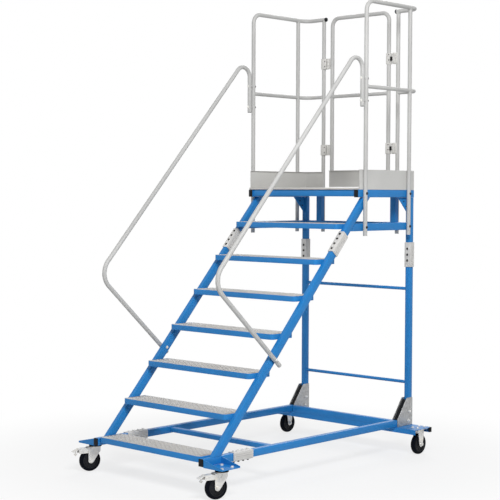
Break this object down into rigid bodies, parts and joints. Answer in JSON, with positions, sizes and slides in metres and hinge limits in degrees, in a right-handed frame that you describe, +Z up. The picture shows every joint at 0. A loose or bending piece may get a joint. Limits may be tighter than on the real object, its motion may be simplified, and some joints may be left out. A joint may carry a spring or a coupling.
{
  "type": "mobile ladder stand",
  "caption": "Rolling stair with ribbed treads, handrails and a guarded platform whose rear gate swings inward, on braked swivel casters in front and fixed casters behind.",
  "frame": {"origin": "middle of the footprint at floor level", "axes": "+Z up, +X to the right of someone who climbs, +Y from the foot of the stair to the gate"},
  "size_m": [1.16, 1.9049, 2.71],
  "materials": {
    "blue_paint": "blue powder coat",
    "grey_paint": "light grey powder coat",
    "aluminium": "extruded, unpainted",
    "galvanised": "galvanised sheet",
    "zinc": "bright zinc plate",
    "black_rubber": "matt black rubber"
  },
  "bodies": {
    "frame": {"base_stub_left": "blue_paint", "base_stub_right": "blue_paint", "base_rail_left": "blue_paint", "base_rail_right": "blue_paint", "rear_post_left": "blue_paint", "rear_post_right": "blue_paint", "upper_post_left": "blue_paint", "upper_post_right": "blue_paint", "stringer_left": "blue_paint", "stringer_right": "blue_paint", "stringer_stub_left": "blue_paint", "stringer_stub_right": "blue_paint", "platform_rail_left": "blue_paint", "platform_rail_right": "blue_paint", "lower_rail_left": "blue_paint", "lower_rail_right": "blue_paint", "guard_left": "grey_paint", "guard_right": "grey_paint", "toe_board_left": "grey_paint", "toe_board_right": "grey_paint", "handrail_left": "grey_paint", "handrail_right": "grey_paint", "base_sleeve_left": "aluminium", "base_sleeve_right": "aluminium", "post_sleeve_left": "aluminium", "post_sleeve_right": "aluminium", "stringer_sleeve_left": "aluminium", "stringer_sleeve_right": "aluminium", "caster_plate_left": "zinc", "caster_plate_right": "zinc", "rear_fork_left": "zinc", "rear_fork_right": "zinc", "foot_bracket_left": "galvanised", "foot_bracket_right": "galvanised", "front_cross_member": "blue_paint", "rear_beam": "blue_paint", "upper_cross_rod": "blue_paint", "lower_cross_rod": "blue_paint", "platform_front_beam": "blue_paint", "platform_rear_frame": "blue_paint", "step_1": "blue_paint", "step_2": "blue_paint", "step_3": "blue_paint", "step_4": "blue_paint", "step_5": "blue_paint", "step_6": "blue_paint", "step_7": "blue_paint", "platform_deck": "aluminium"},
    "swivel_left": {"front_fork_left": "zinc"},
    "front_wheel_body_left": {"front_wheel_left": "black_rubber"},
    "brake_pedal_body_left": {"brake_pedal_left": "zinc"},
    "rear_wheel_body_left": {"rear_wheel_left": "black_rubber"},
    "swivel_right": {"front_fork_right": "zinc"},
    "front_wheel_body_right": {"front_wheel_right": "black_rubber"},
    "brake_pedal_body_right": {"brake_pedal_right": "zinc"},
    "rear_wheel_body_right": {"rear_wheel_right": "black_rubber"},
    "gate": {"gate_frame": "grey_paint", "gate_toe_board": "grey_paint"},
    "latch_lower": {"gate_latch_lower": "zinc"},
    "latch_upper": {"gate_latch_upper": "zinc"}
  },
  "joints": [
    {"name": "caster_swivel_left", "type": "hinge", "parent": "frame", "child": "swivel_left", "pos_m": [-0.5028, -0.8134, 0.1545], "axis": [0, 0, 1], "continuous": true},
    {"name": "front_wheel_spin_left", "type": "hinge", "parent": "swivel_left", "child": "front_wheel_body_left", "pos_m": [-0.51289, -0.84691, 0.0625], "axis": [0.9576, -0.2882, 0], "continuous": true},
    {"name": "brake_pedal_tilt_left", "type": "hinge", "parent": "swivel_left", "child": "brake_pedal_body_left", "pos_m": [-0.51663, -0.85936, 0.121], "axis": [0.9576, -0.2882, 0], "range_deg": [0, 12]},
    {"name": "rear_wheel_spin_left", "type": "hinge", "parent": "frame", "child": "rear_wheel_body_left", "pos_m": [-0.531, 0.85955, 0.0625], "axis": [1, 0, 0], "continuous": true},
    {"name": "caster_swivel_right", "type": "hinge", "parent": "frame", "child": "swivel_right", "pos_m": [0.5028, -0.8134, 0.1545], "axis": [0, 0, 1], "continuous": true},
    {"name": "front_wheel_spin_right", "type": "hinge", "parent": "swivel_right", "child": "front_wheel_body_right", "pos_m": [0.49271, -0.84691, 0.0625], "axis": [0.9576, -0.2882, 0], "continuous": true},
    {"name": "brake_pedal_tilt_right", "type": "hinge", "parent": "swivel_right", "child": "brake_pedal_body_right", "pos_m": [0.48897, -0.85936, 0.121], "axis": [0.9576, -0.2882, 0], "range_deg": [0, 12]},
    {"name": "rear_wheel_spin_right", "type": "hinge", "parent": "frame", "child": "rear_wheel_body_right", "pos_m": [0.531, 0.85955, 0.0625], "axis": [1, 0, 0], "continuous": true},
    {"name": "gate_swing", "type": "hinge", "parent": "frame", "child": "gate", "pos_m": [-0.26225, 0.93595, 1.612], "axis": [0, 0, 1], "range_deg": [-90, 0]},
    {"name": "latch_turn_lower", "type": "hinge", "parent": "frame", "child": "latch_lower", "pos_m": [0.28, 0.92245, 1.834], "axis": [0, 1, 0], "range_deg": [-90, 0]},
    {"name": "latch_turn_upper", "type": "hinge", "parent": "frame", "child": "latch_upper", "pos_m": [0.28, 0.92245, 2.388], "axis": [0, 1, 0], "range_deg": [-90, 0]}
  ]
}
